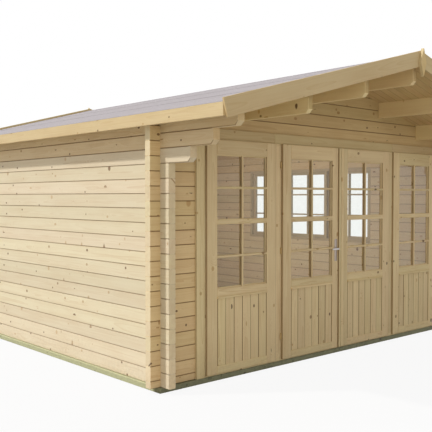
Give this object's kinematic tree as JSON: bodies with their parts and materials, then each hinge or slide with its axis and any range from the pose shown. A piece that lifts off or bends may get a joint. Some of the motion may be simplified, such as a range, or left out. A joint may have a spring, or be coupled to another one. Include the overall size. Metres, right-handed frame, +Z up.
{
  "type": "log cabin",
  "caption": "Flat-log garden cabin with crossed corners, a low gable roof with a deep front overhang on corbels, glazed double doors and side windows.",
  "frame": {"origin": "on the ground, under the middle of the roof", "axes": "+X to the right along the front, +Y from the front to the back, +Z up; the front faces -Y"},
  "size_m": [4.86, 5.72, 2.9275],
  "materials": {
    "spruce_logs": "planed, untreated, knotty",
    "planed_spruce": "planed, untreated",
    "spruce_boards": "planed tongue-and-groove",
    "treated_timber": "pressure-treated green",
    "wood_fibre": "raw wood-fibre insulation board",
    "roof_felt": "matt mineral felt",
    "clear_glass": "clear polished",
    "satin_steel": "satin"
  },
  "bodies": {
    "root": {"back_gable": "spruce_logs", "back_left_barge_board": "planed_spruce", "back_right_barge_board": "planed_spruce", "back_wall": "spruce_logs", "cross_bearers": "treated_timber", "door_frame_head": "planed_spruce", "door_frame_posts": "planed_spruce", "door_frame_sill": "planed_spruce", "door_head_trims": "planed_spruce", "door_side_casings": "planed_spruce", "eave_fascias": "planed_spruce", "eave_logs": "spruce_logs", "finials": "planed_spruce", "floor": "spruce_boards", "floor_joists": "treated_timber", "frame_hinge_pins": "satin_steel", "front_gable": "spruce_logs", "front_left_barge_board": "planed_spruce", "front_right_barge_board": "planed_spruce", "front_wall_ends": "spruce_logs", "left_roof_boards": "spruce_boards", "left_roof_covering": "roof_felt", "left_wall": "spruce_logs", "lower_corbel_logs": "spruce_logs", "lower_purlins": "spruce_logs", "ridge_purlin": "spruce_logs", "right_roof_boards": "spruce_boards", "right_roof_covering": "roof_felt", "right_wall": "spruce_logs", "roof_insulation": "wood_fibre", "side_bearers": "treated_timber", "side_panel_glass": "clear_glass", "side_panels": "planed_spruce", "upper_corbel_logs": "spruce_logs", "upper_purlins": "spruce_logs", "window_casing": "planed_spruce", "window_frame": "planed_spruce", "window_glass": "clear_glass", "window_sashes": "planed_spruce"},
    "left_leaf": {"left_door_leaf": "planed_spruce", "left_door_glass": "clear_glass", "left_leaf_hinges": "satin_steel", "handle_plates": "satin_steel"},
    "right_leaf": {"right_door_leaf": "planed_spruce", "right_door_glass": "clear_glass", "right_leaf_hinges": "satin_steel"},
    "lever": {"lever_handle": "satin_steel"}
  },
  "joints": [
    {"name": "left_door_hinge", "type": "hinge", "parent": "root", "child": "left_leaf", "pos_m": [-0.8603, -1.9053, 1], "axis": [0, 0, -1], "range_deg": [0, 110]},
    {"name": "right_door_hinge", "type": "hinge", "parent": "root", "child": "right_leaf", "pos_m": [0.8603, -1.9053, 1], "axis": [0, 0, 1], "range_deg": [0, 110]},
    {"name": "lever_turn", "type": "hinge", "parent": "left_leaf", "child": "lever", "pos_m": [-0.072, -1.91, 1.06], "axis": [0, -1, 0], "range_deg": [0, 45], "stiffness_Nm_per_rad": 1.2, "springref_deg": -20.05}
  ]
}
